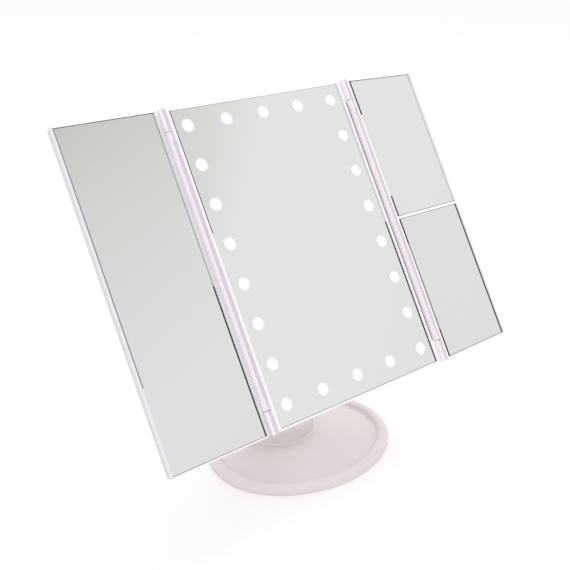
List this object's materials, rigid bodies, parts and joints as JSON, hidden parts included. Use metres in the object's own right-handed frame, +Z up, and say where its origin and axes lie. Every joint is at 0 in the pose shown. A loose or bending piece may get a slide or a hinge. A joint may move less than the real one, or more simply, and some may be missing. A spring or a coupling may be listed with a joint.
{
  "type": "trifold vanity mirror",
  "caption": "Folding three-panel table mirror with a lit middle panel, magnifying wing mirrors, a tilting stem and an oval tray base.",
  "frame": {"origin": "on the table, at the middle of the base's pad", "axes": "+X to the object's right as seen from the front, +Y to the back, +Z up"},
  "size_m": [0.3296, 0.1394, 0.2767],
  "materials": {
    "base_plastic": "satin, faintly pink white",
    "under_plastic": "fine matt",
    "ballast_steel": "plain sheet",
    "pad_rubber": "matt, pale",
    "screw_steel": "plated",
    "stem_plastic": "satin white",
    "washer_rubber": "matt",
    "frame_plastic": "gloss white",
    "centre_glass": "silvered, polished",
    "wing_glass": "silvered, polished",
    "window_plastic": "diffusing white",
    "inner_plastic": "as moulded",
    "strip_board": "white solder mask",
    "led_package": "pale yellow resin",
    "back_plastic": "satin white",
    "cell_jacket": "plain printed sleeve",
    "contact_metal": "nickel plated",
    "circuit_board": "green solder mask",
    "switch_plastic": "as moulded",
    "wire_jacket": "soft vinyl",
    "axle_steel": "turned",
    "foam_sheet": "closed-cell foam",
    "button_plastic": "satin"
  },
  "bodies": {
    "stand": {"base_tray": "base_plastic", "base_cover": "under_plastic", "ballast_plate": "ballast_steel", "non_slip_pad": "pad_rubber", "base_screws": "screw_steel", "stem_front": "stem_plastic", "stem_back": "stem_plastic", "stem_foot_screws": "screw_steel", "stem_cover_screws": "screw_steel", "friction_washers": "washer_rubber"},
    "head": {"centre_frame": "frame_plastic", "centre_mirror": "centre_glass", "light_windows": "window_plastic", "light_baffle": "inner_plastic", "led_strips": "strip_board", "led_chips": "led_package", "backing_plate": "inner_plastic", "centre_back": "back_plastic", "back_screws": "screw_steel", "battery_cells": "cell_jacket", "contact_plates": "contact_metal", "contact_springs": "contact_metal", "control_board": "circuit_board", "usb_socket": "contact_metal", "tact_switch": "switch_plastic", "lead_wires": "wire_jacket", "hinge_bracket": "stem_plastic", "bracket_screws": "screw_steel", "tilt_axle": "axle_steel", "axle_nut": "axle_steel", "wing_pins": "axle_steel"},
    "left_wing": {"left_frame": "frame_plastic", "left_mirror": "wing_glass", "left_pad": "foam_sheet", "left_back": "back_plastic"},
    "right_wing": {"right_frame": "frame_plastic", "upper_magnifier": "wing_glass", "lower_magnifier": "wing_glass", "right_pad": "foam_sheet", "right_back": "back_plastic"},
    "door": {"battery_door": "back_plastic"},
    "button": {"power_button": "button_plastic"}
  },
  "joints": [
    {"name": "tilt", "type": "hinge", "parent": "stand", "child": "head", "pos_m": [0, 0.0175, 0.165], "axis": [-1, 0, 0], "range_deg": [-32.5, 57.5]},
    {"name": "left_fold", "type": "hinge", "parent": "head", "child": "left_wing", "pos_m": [-0.0828, -0.01201, 0.17787], "axis": [0, 0.5373, 0.8434], "range_deg": [-6.5, 179]},
    {"name": "right_fold", "type": "hinge", "parent": "head", "child": "right_wing", "pos_m": [0.0828, -0.01201, 0.17787], "axis": [0, -0.5373, -0.8434], "range_deg": [0, 185.5]},
    {"name": "door_slide", "type": "slide", "parent": "head", "child": "door", "axis": [0, -0.5373, -0.8434], "range_m": [0, 0.062]},
    {"name": "power_press", "type": "slide", "parent": "head", "child": "button", "axis": [0, -0.8434, 0.5373], "range_m": [0, 0.0004], "stiffness_N_per_m": 400}
  ]
}
